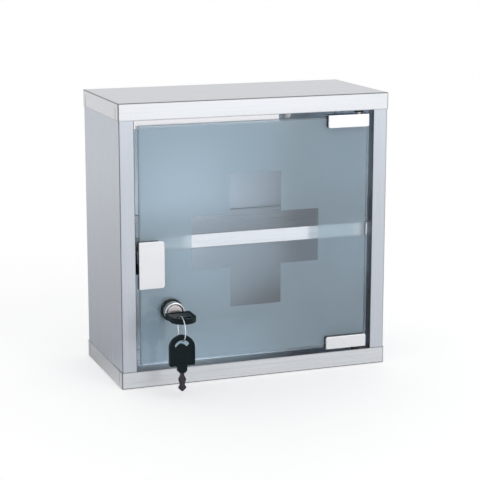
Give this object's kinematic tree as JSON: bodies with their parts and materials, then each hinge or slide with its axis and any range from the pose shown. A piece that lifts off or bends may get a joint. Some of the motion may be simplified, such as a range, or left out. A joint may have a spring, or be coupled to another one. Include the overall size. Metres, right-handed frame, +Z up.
{
  "type": "medicine cabinet",
  "caption": "Square wall cabinet of folded steel sheet with a shelf, a frosted glass door with a clear cross on corner pivots, a push latch and a cam lock with keys on a ring.",
  "frame": {"origin": "middle of the underside of the bottom cap", "axes": "+X to the right as seen from the front, -Y out of the front, +Y to the wall, +Z up"},
  "size_m": [0.3, 0.2029, 0.3],
  "materials": {
    "sheet_steel": "brushed stainless steel",
    "chrome": "polished plating",
    "plain_steel": "plain",
    "rubber": "matte",
    "black_plastic": "fine satin",
    "pale_plastic": "satin",
    "glass": "etched on its inner face, apart from the clear cross"
  },
  "bodies": {
    "cabinet": {"top_cap": "sheet_steel", "bottom_cap": "sheet_steel", "left_side_panel": "sheet_steel", "right_side_panel": "sheet_steel", "back_panel": "sheet_steel", "shelf": "sheet_steel", "left_shelf_bracket": "sheet_steel", "right_shelf_bracket": "sheet_steel", "door_stop_strip": "sheet_steel", "stop_buffer": "pale_plastic", "upper_pivot_bush": "black_plastic", "lower_pivot_bush": "black_plastic", "latch_bracket": "sheet_steel", "latch_housing": "black_plastic", "latch_end_cap": "black_plastic", "latch_screws": "plain_steel", "latch_spring": "plain_steel"},
    "latch": {"latch_plunger": "black_plastic", "latch_magnet": "plain_steel"},
    "door": {"door_glass": "glass", "upper_hinge_clamp": "chrome", "lower_hinge_clamp": "chrome", "upper_hinge_liner": "rubber", "lower_hinge_liner": "rubber", "upper_pivot_pin": "plain_steel", "lower_pivot_pin": "plain_steel", "hinge_set_screws": "plain_steel", "strike_plate": "chrome", "strike_liner": "rubber", "lock_barrel": "chrome", "lock_gasket": "rubber", "lock_washer": "rubber", "lock_nut": "plain_steel"},
    "lock_core": {"lock_plug": "plain_steel", "lock_cam": "sheet_steel", "cam_screw": "plain_steel"},
    "key": {"key_bow": "black_plastic", "key_blade": "plain_steel"},
    "ring": {"key_ring": "chrome"},
    "spare_key": {"spare_key_bow": "black_plastic", "spare_key_blade": "plain_steel"}
  },
  "joints": [
    {"name": "door_hinge", "type": "hinge", "parent": "cabinet", "child": "door", "pos_m": [0.118, -0.06395, 0.15], "axis": [0, 0, 1], "range_deg": [0, 110]},
    {"name": "latch_push", "type": "slide", "parent": "cabinet", "child": "latch", "axis": [0, 1, 0], "range_m": [0, 0.004], "stiffness_N_per_m": 200, "springref_m": -0.004, "deforming": ["latch_spring"]},
    {"name": "lock_turn", "type": "hinge", "parent": "door", "child": "lock_core", "pos_m": [-0.0945, -0.07, 0.081], "axis": [0, 1, 0], "range_deg": [0, 90]},
    {"name": "key_pull", "type": "slide", "parent": "lock_core", "child": "key", "axis": [0, -1, 0], "range_m": [0, 0.03]},
    {"name": "ring_swing", "type": "hinge", "parent": "key", "child": "ring", "pos_m": [-0.10037, -0.11238, 0.0832], "axis": [0, -1, 0], "range_deg": [-8, 8]},
    {"name": "spare_key_swing", "type": "hinge", "parent": "ring", "child": "spare_key", "pos_m": [-0.10037, -0.11971, 0.06161], "axis": [0, -1, 0], "range_deg": [-30, 30]}
  ]
}
